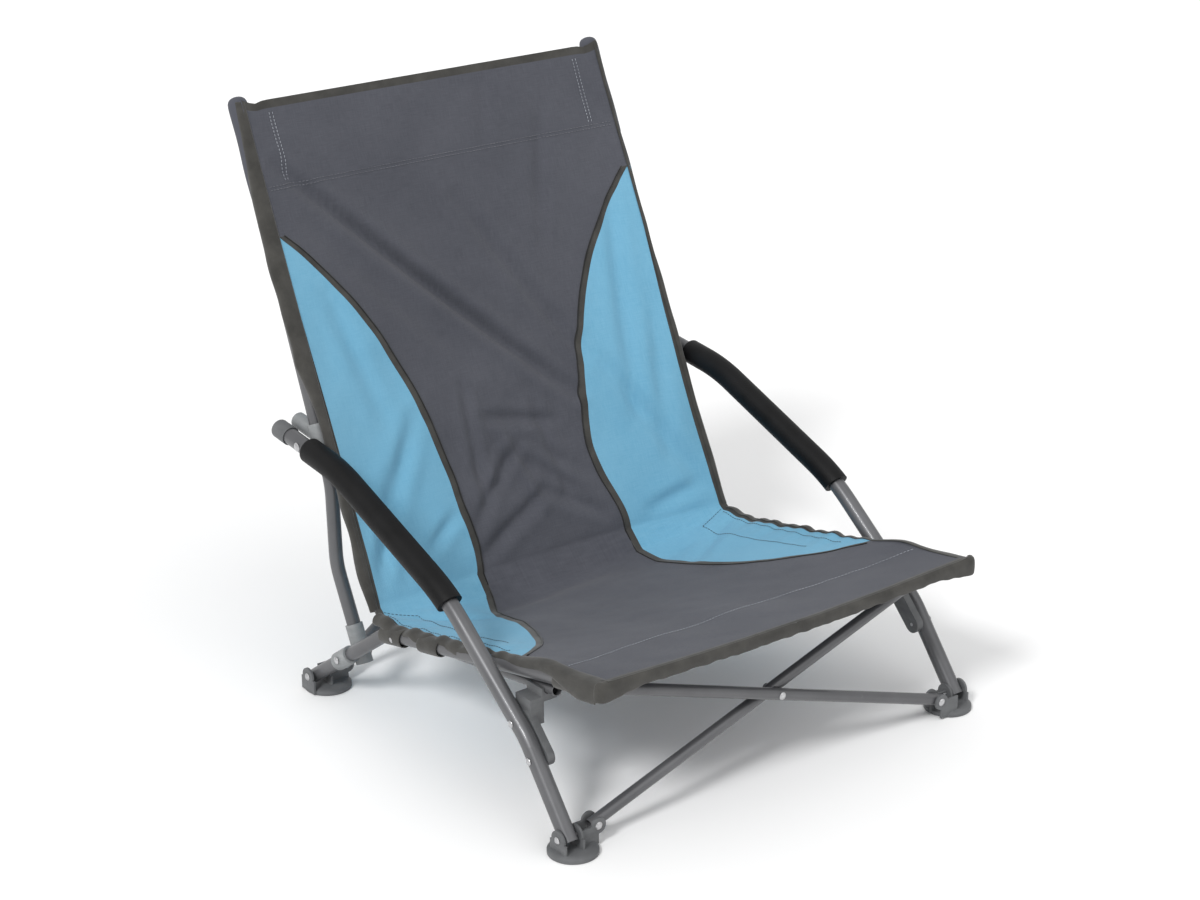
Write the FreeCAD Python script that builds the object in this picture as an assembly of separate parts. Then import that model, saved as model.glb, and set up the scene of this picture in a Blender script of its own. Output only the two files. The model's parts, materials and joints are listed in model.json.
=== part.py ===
import FreeCAD, Part
import math
import os

V = FreeCAD.Vector

# Low folding sling chair: bent steel tube frame, four plastic feet, foam arm grips, fabric sling.
# Frame while modelling: +Z up, the sitter faces -Y, X across. Side profiles are (y, z) points and
# every side piece is made twice, with side = -1 (the sitter's right) and side = +1 (left).

# ---- driving dimensions, millimetres ----
LEG_X = 272.0               # half spacing of the leg and arm tubes
FRONT_PIN_Y = -300.0        # leg pin of the front feet
REAR_PIN_Y = 172.0          # rail pin of the rear feet
PIN_Z = 19.0                # height of all foot pins
BACK_TOP = (343.0, 646.0)   # top end of the back uprights

LEG_R = 9.5                 # leg and arm tube
RAIL_R = 8.0                # seat rail tube
UPRIGHT_R = 8.0             # back upright tube
CROSS_R = 6.5               # cross tubes and seat brace
LEG_WALL = 1.2
RAIL_WALL = 1.2
CROSS_WALL = 1.0

GRIP_R = 14.5               # foam sleeve on the arm
GRIP_FIT = 0.1
PIN_R = 2.5                 # pivot pins
RIVET_R = 2.0               # fixed rivets
RUN = 0.05                  # radial running clearance of a pivot
FIT = 0.02                  # clearance of a fixed pin in its hole
PLAY = 0.6                  # side play between moving cheeks and tubes
REAR_PLAY = 2.4             # more play at the rear foot, where the rail leaves at a slant
CHEEK = 2.6                 # thickness of plastic cheeks
HEAD_R = 4.4                # rivet head
HEAD_H = 1.9
CAP_WALL = 1.5
PLUG_INSET = 1.7            # a flush plug's face is this much smaller, before its wall is added
HEAD_SEAT = 0.35            # a head sits this far off a round tube's surface

# ---- side profile ----
LEG_KNEE = (-232.0, 104.0)
ARM_RISE = (-90.0, 211.0)
LEG_PIN_SLOPE = (0.046, -0.043)  # y and z per mm outboard: the leg splays a little as it folds
LEG_TAIL = 6.0              # tube end past the foot pin
KNEE_BEND = 90.0
ARM_BEND = 230.0
SLIDER_Z = 294.5            # height of the arm's pivot on the slider
CREST_FROM_PIVOT = (-70.0, -7.5)
ARM_END_FROM_PIVOT = (49.0, 4.5)
GRIP_START_Y = -97.0
GRIP_END_Y = 172.0

RAIL_BEND = (53.0, 109.0)
RAIL_PIVOT = (-303.0, 184.0)
RAIL_NOSE = 24.0            # rail length past its front pivot
RAIL_BEND_R = 55.0
RAIL_REAR_X = LEG_X + 4.0
RAIL_CROSS_GAP = 3.4        # side gap between rail and leg where they cross
RAIL_INNER_X = LEG_X - LEG_R - RAIL_CROSS_GAP - RAIL_R
RAIL_BEND_X = RAIL_INNER_X + 3.5
RAIL_FRONT_X = RAIL_INNER_X - 3.5

UPRIGHT_PIVOT_SHARE = 0.40  # place of the upright's pivot between rear pin and rail bend
UPRIGHT_SIDE_GAP = 5.0      # rail to fitting, so the folded upright passes the slanted rail
UPRIGHT_LOW = (167.0, 151.0)
UPRIGHT_HIGH = (166.0, 249.0)
UPRIGHT_BEND_R = 70.0
SLIDER_R = 11.0
SLIDER_LENGTH = 40.0
SLIDER_GAP = 1.0            # side gap between slider and arm tube
BOSS_R = 9.5
BOSS_REACH = 46.0
UPRIGHT_SLIDER_X = LEG_X - LEG_R - SLIDER_GAP - SLIDER_R
UPRIGHT_TOP_X = UPRIGHT_SLIDER_X - 4.0
SOCKET_WALL = 2.0
COLLAR_WALL = 2.6

# ---- cross tubes ----
FRONT_PLANE_Y = -303.0
FRONT_LOW_X = LEG_X - 36.0
FRONT_LOW_Z = PIN_Z + 3.0
KNUCKLE_PLATE = 2.2
TUBE_END_ROOM = 9.0         # pin to knuckle plate, for the cross tube's end
FRONT_HIGH_X = RAIL_FRONT_X - RAIL_R - PLAY - KNUCKLE_PLATE - TUBE_END_ROOM
FRONT_HIGH_Z = 178.0
CROSS_TAIL = 5.0            # tube end past its pivot
CROSS_SPACING = 2.0 * CROSS_R + 1.2
WASHER_R = 6.0
WASHER_PLAY = 0.1
REAR_LOW_X = 236.0 + (LEG_X - 272.0)
REAR_PLANE_Y = 173.0        # middle plane of the rear cross tubes, at pin height
REAR_HIGH_X = UPRIGHT_SLIDER_X - SLIDER_R - 10.0
REAR_HIGH_Z = 300.0
REAR_LEAN = 8.6             # degrees, backward lean of the rear cross plane

# ---- feet ----
DISC_R = 27.0
DISC_H = 4.0
DISC_TOP_R = 23.0
DISC_TOP_H = 2.4
FRONT_DISC_INSET = 7.0      # disc centre inboard of the tube it carries
REAR_DISC_INSET = 14.0
LOBE_R = 9.0

# ---- seat brace and its cradle ----
BRACE_X = RAIL_INNER_X - 13.0
BRACE_REAR = (45.0, 107.0)
BRACE_FRONT = (-238.0, 150.0)
BRACE_RIVET_Y = 34.0
CRADLE_Y = -212.0
CRADLE_LENGTH = 26.0
CRADLE_WALL = 2.8
CRADLE_PLATE = 9.0

# ---- sling ----
CLOTH = 1.6
CLOTH_GAP = 0.5
SEAT_SAG = 28.0
FRONT_SAG = 7.0
BACK_SAG = 26.0
TOP_SAG = 8.0
CREASE = (77.0, 119.5)
CREASE_X = RAIL_BEND_X - 1.0
SEAT_FRONT_Y = -337.0
TOP_CLOTH_OFFSET = 11.0
FLAT_EDGE = 0.92            # share of the half width where the cloth leaves the side tubes


def unit(vector):
    """Copy of a vector at length one."""
    return V(vector) / vector.Length


def at(side, x, yz):
    """Point on one side of the chair from its distance to the middle and its (y, z)."""
    return V(side * x, yz[0], yz[1])


def between(start, end, share):
    """Point of a side profile at a share of the way from start to end."""
    return tuple(a + (b - a) * share for a, b in zip(start, end))


def height_on(start, end, y):
    """z at y on the line through two side profile points."""
    return start[1] + (end[1] - start[1]) * (y - start[0]) / (end[0] - start[0])


def length_between(start, end):
    return math.hypot(end[0] - start[0], end[1] - start[1])


def rod(start, end, radius):
    """Solid cylinder between two points."""
    return Part.makeCylinder(radius, (end - start).Length, start, end - start)


def block(corner_a, corner_b):
    """Box between two opposite corners."""
    low = V(*(min(a, b) for a, b in zip(corner_a, corner_b)))
    high = V(*(max(a, b) for a, b in zip(corner_a, corner_b)))
    return Part.makeBox(high.x - low.x, high.y - low.y, high.z - low.z, low)


def tube_path(points, bend_radii):
    """Wire of straight runs joined by tangent arcs at the inner points."""
    edges = []
    start = points[0]
    for before, corner, after, radius in zip(points, points[1:], points[2:], bend_radii):
        inward = unit(corner - before)
        outward = unit(after - corner)
        half_turn = inward.getAngle(outward) / 2
        setback = radius * math.tan(half_turn)
        arc_start = corner - inward * setback
        arc_end = corner + outward * setback
        middle = corner + unit(outward - inward) * radius * (1 / math.cos(half_turn) - 1)
        edges.append(Part.makeLine(start, arc_start))
        edges.append(Part.Arc(arc_start, middle, arc_end).toShape())
        start = arc_end
    edges.append(Part.makeLine(start, points[-1]))
    return Part.Wire(edges)


def swept(points, bend_radii, radius):
    """Solid round bar along a bent path."""
    profile = Part.Wire(Part.makeCircle(radius, points[0], points[1] - points[0]))
    return tube_path(points, bend_radii).makePipeShell([profile], True, False)


def bent_tube(points, bend_radii, radius, wall):
    """Hollow tube along a bent path."""
    return swept(points, bend_radii, radius).cut(swept(points, bend_radii, radius - wall))


def straight_tube(start, end, radius, wall):
    return rod(start, end, radius).cut(rod(start, end, radius - wall))


def dome(base, axis, radius, height):
    """Low rivet head standing on its base point."""
    ball = (radius ** 2 + height ** 2) / (2 * height)
    latitude = math.degrees(math.asin((ball - height) / ball))
    centre = base - unit(axis) * (ball - height)
    return Part.makeSphere(ball, centre, axis, latitude, 90, 360)


def rivet(centre, axis, grip, shaft_r, head_r=HEAD_R, tail_head=True):
    """Rivet through a grip length, with a domed head on one or both ends."""
    direction = unit(axis)
    start = centre - direction * grip / 2
    end = centre + direction * grip / 2
    shaft = rod(start, end, shaft_r)
    heads = [dome(end, direction, head_r, HEAD_H)]
    if tail_head:
        heads.append(dome(start, direction * -1, head_r, HEAD_H))
    return shaft.fuse(heads).removeSplitter()


def x_hole(side, centre_yz, radius):
    """Cutter across the whole half width, along X."""
    return rod(at(side, 0, centre_yz), at(side, LEG_X * 1.4, centre_yz), radius)


# ---- places worked out from the dimensions ----
def arm_points():
    """Leg and arm profile from the foot pin to the rear end."""
    pivot = slider_pivot()
    crest = (pivot[0] + CREST_FROM_PIVOT[0], pivot[1] + CREST_FROM_PIVOT[1])
    end = (pivot[0] + ARM_END_FROM_PIVOT[0], pivot[1] + ARM_END_FROM_PIVOT[1])
    return [(FRONT_PIN_Y, PIN_Z), LEG_KNEE, ARM_RISE, crest, end]


def slider_pivot():
    """Where the upright's axis passes the arm pivot's height."""
    share = (SLIDER_Z - UPRIGHT_HIGH[1]) / (BACK_TOP[1] - UPRIGHT_HIGH[1])
    return between(UPRIGHT_HIGH, BACK_TOP, share)


def upright_pivot():
    return between((REAR_PIN_Y, PIN_Z), RAIL_BEND, UPRIGHT_PIVOT_SHARE)


def tail_point(pin, towards, length):
    """Point past a pin, on the far side from the next point of the tube."""
    share = -length / length_between(pin, towards)
    return between(pin, towards, share)


def rail_x_at(y):
    """Distance of the rail's axis from the middle at a given y on its main run."""
    share = (RAIL_BEND[0] - y) / (RAIL_BEND[0] - RAIL_PIVOT[0])
    return RAIL_BEND_X + (RAIL_FRONT_X - RAIL_BEND_X) * share


def upright_pivot_x():
    """The upright's axis beside the rail, one fitting wall inboard of it."""
    rail_x = RAIL_REAR_X + (RAIL_BEND_X - RAIL_REAR_X) * UPRIGHT_PIVOT_SHARE
    return rail_x - RAIL_R - UPRIGHT_SIDE_GAP - SOCKET_WALL - UPRIGHT_R


def upright_points(side):
    pivot = upright_pivot()
    low_x = upright_pivot_x()
    return [
        at(side, low_x, pivot),
        at(side, (low_x + UPRIGHT_SLIDER_X) / 2, UPRIGHT_LOW),
        at(side, UPRIGHT_SLIDER_X, UPRIGHT_HIGH),
        at(side, UPRIGHT_TOP_X, BACK_TOP),
    ]


def leg_pin_axis(side):
    """Direction of the leg's foot pin, pointing outboard."""
    return unit(V(side, *LEG_PIN_SLOPE))


def upright_axis(side):
    """Direction of the upright's long upper run."""
    points = upright_points(side)
    return unit(points[3] - points[2])


def slider_centre(side):
    points = upright_points(side)
    share = (SLIDER_Z - UPRIGHT_HIGH[1]) / (BACK_TOP[1] - UPRIGHT_HIGH[1])
    return points[2] + (points[3] - points[2]) * share


def front_tube_y(foot_side):
    """The tube from the left foot runs in front of the tube from the right foot."""
    return FRONT_PLANE_Y - foot_side * CROSS_SPACING / 2


def rear_lean_axis():
    """Unit vector up the plane of the rear cross tubes."""
    lean = math.radians(REAR_LEAN)
    return V(0, math.sin(lean), math.cos(lean))


def rear_pin_axis():
    """Unit vector square to that plane, pointing backwards."""
    lean = math.radians(REAR_LEAN)
    return V(0, math.cos(lean), -math.sin(lean))


def front_cross_ends(foot_side):
    y = front_tube_y(foot_side)
    return V(foot_side * FRONT_LOW_X, y, FRONT_LOW_Z), V(-foot_side * FRONT_HIGH_X, y, FRONT_HIGH_Z)


def rear_cross_ends(foot_side):
    """As in front, the tube from the left foot runs in front of the other, in a leaning plane."""
    middle = V(0, REAR_PLANE_Y, PIN_Z) - rear_pin_axis() * (foot_side * CROSS_SPACING / 2)
    rise = rear_lean_axis() * ((REAR_HIGH_Z - PIN_Z) / math.cos(math.radians(REAR_LEAN)))
    return middle + V(foot_side * REAR_LOW_X, 0, 0), middle + V(-foot_side * REAR_HIGH_X, 0, 0) + rise


def crossing(ends):
    """Point of a cross tube's axis in the middle of the chair."""
    low, high = ends
    return low + (high - low) * (low.x / (low.x - high.x))


# ---- feet ----
def foot(side, tube_pin, pin_axis, tube_r, side_play, disc_inset, ear_pin, ear_lean):
    """Round foot with a channel for the side tube and an inboard ear for the cross tube."""
    tube_x = abs(tube_pin.x)
    pin_y = tube_pin.y
    disc_centre = V(side * (tube_x - disc_inset), pin_y, 0)
    disc = Part.makeCylinder(DISC_R, DISC_H, disc_centre)
    crown = Part.makeCone(DISC_R, DISC_TOP_R, DISC_TOP_H, disc_centre + V(0, 0, DISC_H))
    solids = [crown]
    inner_gap = tube_x - tube_r - side_play
    outer_gap = tube_x + tube_r + side_play
    for near, far in ((inner_gap - CHEEK, inner_gap), (outer_gap, outer_gap + CHEEK)):
        solids.append(block((side * near, pin_y - 13, 1), (side * far, pin_y + 13, PIN_Z - 2)))
        solids.append(rod(V(side * near, pin_y, PIN_Z), V(side * far, pin_y, PIN_Z), LOBE_R + 1.5))
    for step in (-1, 1):
        near = ear_pin.y + step * (CROSS_R + PLAY)
        far = near + step * CHEEK
        web = block((ear_pin.x, near, 1.8), (side * (inner_gap - 1), far, PIN_Z + 4))
        lobe = rod(V(ear_pin.x, near, ear_pin.z), V(ear_pin.x, far, ear_pin.z), LOBE_R)
        for piece in (web, lobe):
            piece.rotate(ear_pin, V(1, 0, 0), -ear_lean)
            solids.append(piece)
    body = disc.fuse(solids).removeSplitter()
    body = body.common(block((-LEG_X * 2, -1000, 0), (LEG_X * 2, 1000, 100)))
    ear_axis = V(0, math.cos(math.radians(ear_lean)), -math.sin(math.radians(ear_lean)))
    body = body.cut(rod(tube_pin - pin_axis * 20, tube_pin + pin_axis * 20, PIN_R + FIT))
    return body.cut(rod(ear_pin - ear_axis * 14, ear_pin + ear_axis * 14, PIN_R + FIT))


def foot_pins(tube_pin, pin_axis, tube_r, side_play, ear_pin, ear_lean):
    """The two rivets of a foot: across for the side tube, fore and aft for the cross tube."""
    across_grip = 2 * (tube_r + side_play + CHEEK + HEAD_SEAT)
    across = rivet(tube_pin, pin_axis, across_grip, PIN_R, tail_head=False)
    ear_axis = V(0, math.cos(math.radians(ear_lean)), -math.sin(math.radians(ear_lean)))
    along = rivet(ear_pin, ear_axis, 2 * (CROSS_R + PLAY + CHEEK), PIN_R)
    return Part.Compound([across, along])


# ---- side frame ----
def leg_arm_path(side):
    profile = arm_points()
    profile[0] = tail_point(profile[0], profile[1], LEG_TAIL)
    return [at(side, LEG_X, yz) for yz in profile]


ARM_BENDS = [KNEE_BEND, ARM_BEND, ARM_BEND]


def cradle_rivet_points():
    """Two points on the leg that hold the cradle, one on each side of the knee."""
    lower = between((FRONT_PIN_Y, PIN_Z), LEG_KNEE, 0.78)
    return [lower, between(LEG_KNEE, ARM_RISE, 0.11)]


def leg_arm_tube(side):
    tube = bent_tube(leg_arm_path(side), ARM_BENDS, LEG_R, LEG_WALL)
    pin = at(side, LEG_X, (FRONT_PIN_Y, PIN_Z))
    tube = tube.cut(rod(pin - leg_pin_axis(side) * 20, pin + leg_pin_axis(side) * 20, PIN_R + RUN))
    tube = tube.cut(x_hole(side, slider_pivot(), PIN_R + FIT))
    for yz in cradle_rivet_points():
        tube = tube.cut(x_hole(side, yz, RIVET_R + FIT))
    return tube


def arm_grip(side):
    """Foam sleeve: the part of a thick bar on the arm's own path between two heights."""
    sleeve = swept(leg_arm_path(side), ARM_BENDS, GRIP_R)
    sleeve = sleeve.cut(swept(leg_arm_path(side), ARM_BENDS, LEG_R + GRIP_FIT))
    points = arm_points()
    low_direction = unit(at(0, 0, ARM_RISE) - at(0, 0, LEG_KNEE))
    high_direction = unit(at(0, 0, points[4]) - at(0, 0, points[3]))
    low = at(side, LEG_X, (GRIP_START_Y, height_on(LEG_KNEE, ARM_RISE, GRIP_START_Y)))
    high = at(side, LEG_X, (GRIP_END_Y, height_on(points[3], points[4], GRIP_END_Y)))
    sleeve = sleeve.cut(rod(low, low - low_direction * 400, 200))
    return sleeve.cut(rod(high, high + high_direction * 400, 200))


def arm_end_cap(side):
    path = leg_arm_path(side)
    return end_cap(path[-1], path[-1] - path[-2], LEG_R, 22.0, 3.0)


def end_cap(end, axis, tube_r, skirt, thickness):
    """Plastic cap over a tube end, with a bevelled closed face; axis points out of the tube."""
    direction = unit(axis)
    outer_r = tube_r + CAP_WALL
    sleeve = rod(end - direction * skirt, end + direction * (thickness - 1.2), outer_r)
    face = Part.makeCone(outer_r, outer_r - 1.2, 1.2, end + direction * (thickness - 1.2), direction)
    bore = rod(end - direction * (skirt + 1), end, tube_r + GRIP_FIT)
    return sleeve.fuse(face).cut(bore)


def arm_pivot_pin(side):
    """Pivot through the arm tube, headed on the outside, ending flush beside the slider."""
    centre = at(side, LEG_X, slider_pivot())
    return rivet(centre, V(side, 0, 0), 2 * LEG_R, PIN_R, head_r=5.2, tail_head=False)


def brace_height(y):
    return height_on(BRACE_REAR, BRACE_FRONT, y)


def leg_cradle(side):
    """Bracket riveted to the inside of the leg, with a trough that the seat brace rests in."""
    face_x = LEG_X - LEG_R + 1.5
    lower, upper = cradle_rivet_points()
    plate = rod(at(side, face_x - CRADLE_PLATE, lower), at(side, face_x, lower), 10.0)
    plate = plate.fuse(rod(at(side, face_x - CRADLE_PLATE, upper), at(side, face_x, upper), 10.0))
    along = unit(at(0, 0, upper) - at(0, 0, lower))
    across = V(0, -along.z, along.y)
    corners = []
    for centre, offset in ((lower, -10.0), (upper, -10.0), (upper, 10.0), (lower, 10.0)):
        corners.append(at(side, face_x - CRADLE_PLATE, centre) + across * offset)
    outline = Part.Face(Part.makePolygon(corners + corners[:1]))
    plate = plate.fuse(outline.extrude(V(side * CRADLE_PLATE, 0, 0)))
    inner_r = CROSS_R + PLAY
    low_y = CRADLE_Y - CRADLE_LENGTH / 2
    high_y = CRADLE_Y + CRADLE_LENGTH / 2
    floor_z = brace_height(CRADLE_Y) - inner_r - 5.0
    rim_z = brace_height(CRADLE_Y) + 3.0
    trough = block(
        (side * (BRACE_X - inner_r - CRADLE_WALL), low_y, floor_z),
        (side * (BRACE_X + inner_r + CRADLE_WALL), high_y, rim_z),
    )
    arm = block(
        (side * (BRACE_X + inner_r), low_y, upper[1] - 6.0),
        (side * (face_x - 1.5), high_y, floor_z + 6.0),
    )
    body = plate.fuse([trough, arm])
    start = at(side, BRACE_X, (CRADLE_Y - 40, brace_height(CRADLE_Y - 40)))
    end = at(side, BRACE_X, (CRADLE_Y + 40, brace_height(CRADLE_Y + 40)))
    body = body.cut(rod(start, end, inner_r))
    slot = block(
        (side * (BRACE_X - inner_r), low_y - 5, brace_height(CRADLE_Y)),
        (side * (BRACE_X + inner_r), high_y + 5, rim_z + 20),
    )
    body = body.cut(slot)
    body = body.cut(swept(leg_arm_path(side), ARM_BENDS, LEG_R + GRIP_FIT))
    for yz in cradle_rivet_points():
        body = body.cut(x_hole(side, yz, RIVET_R + FIT))
    return body.removeSplitter()


def cradle_rivets(side):
    """Rivets through the leg and the cradle's plate."""
    inner = LEG_X - LEG_R + 1.5 - CRADLE_PLATE
    outer = LEG_X + LEG_R + HEAD_SEAT
    rivets = []
    for yz in cradle_rivet_points():
        centre = at(side, (inner + outer) / 2, yz)
        rivets.append(rivet(centre, V(side, 0, 0), outer - inner, RIVET_R, 4.0, tail_head=False))
    return Part.Compound(rivets)


# ---- seat rail ----
def rail_path(side):
    rear = tail_point((REAR_PIN_Y, PIN_Z), RAIL_BEND, LEG_TAIL)
    nose = between(RAIL_BEND, RAIL_PIVOT, 1 + RAIL_NOSE / length_between(RAIL_BEND, RAIL_PIVOT))
    return [
        at(side, RAIL_REAR_X, rear),
        at(side, RAIL_BEND_X, RAIL_BEND),
        at(side, rail_x_at(nose[0]), nose),
    ]


def brace_rivet_yz():
    rail_z = height_on(RAIL_BEND, RAIL_PIVOT, BRACE_RIVET_Y)
    return BRACE_RIVET_Y, (rail_z + brace_height(BRACE_RIVET_Y)) / 2


def seat_rail(side):
    tube = bent_tube(rail_path(side), [RAIL_BEND_R], RAIL_R, RAIL_WALL)
    tube = tube.cut(x_hole(side, (REAR_PIN_Y, PIN_Z), PIN_R + RUN))
    tube = tube.cut(x_hole(side, RAIL_PIVOT, PIN_R + RUN))
    tube = tube.cut(x_hole(side, upright_pivot(), PIN_R + FIT))
    return tube.cut(x_hole(side, brace_rivet_yz(), RIVET_R + FIT))


def rail_front_cap(side):
    path = rail_path(side)
    return end_cap(path[-1], path[-1] - path[-2], RAIL_R - PLUG_INSET, 0.0, 3.0)


def seat_brace(side):
    tube = straight_tube(at(side, BRACE_X, BRACE_REAR), at(side, BRACE_X, BRACE_FRONT), CROSS_R, CROSS_WALL)
    return tube.cut(x_hole(side, brace_rivet_yz(), RIVET_R + FIT))


def brace_spacer(side):
    """Bush between brace and rail, shaped to both tubes."""
    y, z = brace_rivet_yz()
    bush = rod(at(side, BRACE_X, (y, z)), at(side, rail_x_at(y), (y, z)), 5.0)
    bush = bush.cut(rod(at(side, BRACE_X, BRACE_REAR), at(side, BRACE_X, BRACE_FRONT), CROSS_R + FIT))
    bush = bush.cut(swept(rail_path(side), [RAIL_BEND_R], RAIL_R + FIT))
    return bush.cut(x_hole(side, (y, z), RIVET_R + FIT))


def brace_rivet(side):
    y, z = brace_rivet_yz()
    inner = BRACE_X - CROSS_R - HEAD_SEAT
    outer = rail_x_at(y) + RAIL_R + HEAD_SEAT
    centre = at(side, (inner + outer) / 2, (y, z))
    return rivet(centre, V(side, 0, 0), outer - inner, RIVET_R, head_r=4.0)


# ---- upright ----
def upright_collar(side):
    """Plastic collar round the rail's rear run, where the upright pivots."""
    pivot = upright_pivot()
    path = rail_path(side)
    axis = unit(path[1] - path[0])
    rail_x = RAIL_REAR_X + (RAIL_BEND_X - RAIL_REAR_X) * UPRIGHT_PIVOT_SHARE
    centre = at(side, rail_x, pivot)
    inner_x = upright_pivot_x() + UPRIGHT_R + SOCKET_WALL + PLAY / 2
    collar = rod(centre - axis * 13, centre + axis * 13, RAIL_R + COLLAR_WALL)
    collar = collar.fuse(rod(at(side, inner_x, pivot), centre, 8.0)).removeSplitter()
    collar = collar.cut(swept(path, [RAIL_BEND_R], RAIL_R + FIT))
    return collar.cut(x_hole(side, pivot, PIN_R + FIT))


def upright_end_fitting(side):
    """Plastic socket on the upright's lower end."""
    points = upright_points(side)
    axis = unit(points[1] - points[0])
    outer = rod(points[0] - axis * 12, points[0] + axis * 34, UPRIGHT_R + SOCKET_WALL)
    bore = rod(points[0] - axis * 9, points[0] + axis * 40, UPRIGHT_R + FIT)
    body = outer.cut(bore)
    return body.cut(x_hole(side, upright_pivot(), PIN_R + RUN))


def back_upright(side):
    points = upright_points(side)
    points[0] = points[0] - unit(points[1] - points[0]) * 9.0
    tube = bent_tube(points, [UPRIGHT_BEND_R, UPRIGHT_BEND_R], UPRIGHT_R, RAIL_WALL)
    return tube.cut(x_hole(side, upright_pivot(), PIN_R + RUN))


def upright_pivot_pin(side):
    rail_x = RAIL_REAR_X + (RAIL_BEND_X - RAIL_REAR_X) * UPRIGHT_PIVOT_SHARE
    inner = upright_pivot_x() - UPRIGHT_R - SOCKET_WALL - HEAD_SEAT
    slant = (RAIL_REAR_X - RAIL_BEND_X) / length_between((REAR_PIN_Y, PIN_Z), RAIL_BEND)
    outer = rail_x + RAIL_R + COLLAR_WALL + HEAD_R * slant + HEAD_SEAT
    centre = at(side, (inner + outer) / 2, upright_pivot())
    return rivet(centre, V(side, 0, 0), outer - inner, PIN_R)


def upright_top_cap(side):
    points = upright_points(side)
    return end_cap(points[-1], points[-1] - points[-2], UPRIGHT_R - PLUG_INSET, 0.0, 4.0)


def upright_slider(side):
    """Sliding collar on the upright, with a boss behind it for the cross tube."""
    centre = slider_centre(side)
    axis = upright_axis(side)
    collar = rod(centre - axis * SLIDER_LENGTH / 2, centre + axis * SLIDER_LENGTH / 2, SLIDER_R)
    boss_start = centre + V(0, 0, 6.0)
    boss_end = boss_start + V(0, BOSS_REACH, 5.0)
    boss = rod(boss_start, boss_end, BOSS_R)
    rim = Part.makeCone(BOSS_R, BOSS_R - 1.5, 1.5, boss_end, boss_end - boss_start)
    body = collar.fuse([boss, rim])
    bore = rod(centre - axis * 100, centre + axis * 100, UPRIGHT_R + RUN)
    return body.cut(bore).removeSplitter()


# ---- cross tubes ----
def cross_tube(ends, pin_axis, rivet_clearance):
    """Straight tube with a pivot hole near each end and one at the crossing."""
    low, high = ends
    along = unit(high - low)
    tube = straight_tube(low - along * CROSS_TAIL, high + along * CROSS_TAIL, CROSS_R, CROSS_WALL)
    for centre, radius in (
        (low, PIN_R + RUN),
        (high, PIN_R + RUN),
        (crossing(ends), PIN_R + rivet_clearance),
    ):
        tube = tube.cut(rod(centre - pin_axis * 20, centre + pin_axis * 20, radius))
    return tube


def cross_rivet(ends_a, ends_b, pin_axis):
    """Rivet through both cross tubes where they meet."""
    middle = (crossing(ends_a) + crossing(ends_b)) / 2
    return rivet(middle, pin_axis, 2 * (CROSS_R + HEAD_SEAT) + CROSS_SPACING, PIN_R)


def cross_washer(ends_a, ends_b, pin_axis):
    """Washer in the gap between two cross tubes."""
    middle = (crossing(ends_a) + crossing(ends_b)) / 2
    half = (CROSS_SPACING - 2 * CROSS_R) / 2 - WASHER_PLAY
    washer = rod(middle - pin_axis * half, middle + pin_axis * half, WASHER_R)
    return washer.cut(rod(middle - pin_axis * half * 2, middle + pin_axis * half * 2, PIN_R + FIT))


def rear_rivet_half(foot_side):
    """Half of the rear middle rivet: its own tube's head and shaft, up to the gap between the tubes."""
    middle = crossing(rear_cross_ends(foot_side))
    outward = rear_pin_axis() * -foot_side
    shaft = rod(middle - outward * CROSS_R, middle + outward * (CROSS_R + HEAD_SEAT), PIN_R)
    half = shaft.fuse(dome(middle + outward * (CROSS_R + HEAD_SEAT), outward, HEAD_R, HEAD_H))
    return half.removeSplitter()


def rear_cross_plug(foot_side):
    """Cap on the upper end of a rear cross tube."""
    low, high = rear_cross_ends(foot_side)
    along = unit(high - low)
    return end_cap(high + along * CROSS_TAIL, along, CROSS_R - PLUG_INSET, 0.0, 2.4)


def rail_knuckle(side):
    """Plastic knuckle between the front cross tube's upper end and the rail."""
    tube_side = -side
    tube_y = front_tube_y(tube_side)
    plate_inner = FRONT_HIGH_X + TUBE_END_ROOM
    plate_outer = plate_inner + KNUCKLE_PLATE
    low_y = min(tube_y - CROSS_R - PLAY - CHEEK, RAIL_PIVOT[0] - 7)
    high_y = max(tube_y + CROSS_R + PLAY + CHEEK, RAIL_PIVOT[0] + 7)
    body = block(
        (side * plate_inner, low_y, FRONT_HIGH_Z - LOBE_R),
        (side * plate_outer, high_y, RAIL_PIVOT[1] + 5.0),
    )
    for step in (-1, 1):
        near = tube_y + step * (CROSS_R + PLAY)
        far = near + step * CHEEK
        body = body.fuse(block(
            (side * FRONT_HIGH_X, near, FRONT_HIGH_Z - LOBE_R),
            (side * plate_inner, far, FRONT_HIGH_Z + LOBE_R),
        ))
        body = body.fuse(rod(V(side * FRONT_HIGH_X, near, FRONT_HIGH_Z),
                             V(side * FRONT_HIGH_X, far, FRONT_HIGH_Z), LOBE_R))
    pin = V(side * FRONT_HIGH_X, tube_y, FRONT_HIGH_Z)
    body = body.cut(rod(pin - V(0, 20, 0), pin + V(0, 20, 0), PIN_R + FIT))
    return body.cut(x_hole(side, RAIL_PIVOT, PIN_R + FIT)).removeSplitter()


def knuckle_pins(side):
    """Fore and aft rivet of the cross tube and the stub pin that carries the rail."""
    tube_y = front_tube_y(-side)
    along = rivet(V(side * FRONT_HIGH_X, tube_y, FRONT_HIGH_Z), V(0, 1, 0),
                  2 * (CROSS_R + PLAY + CHEEK), PIN_R)
    inner = FRONT_HIGH_X + TUBE_END_ROOM
    outer = RAIL_FRONT_X + RAIL_R + HEAD_SEAT
    centre = at(side, (inner + outer) / 2, RAIL_PIVOT)
    stub = rivet(centre, V(side, 0, 0), outer - inner, PIN_R, tail_head=False)
    return Part.Compound([along, stub])


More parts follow.
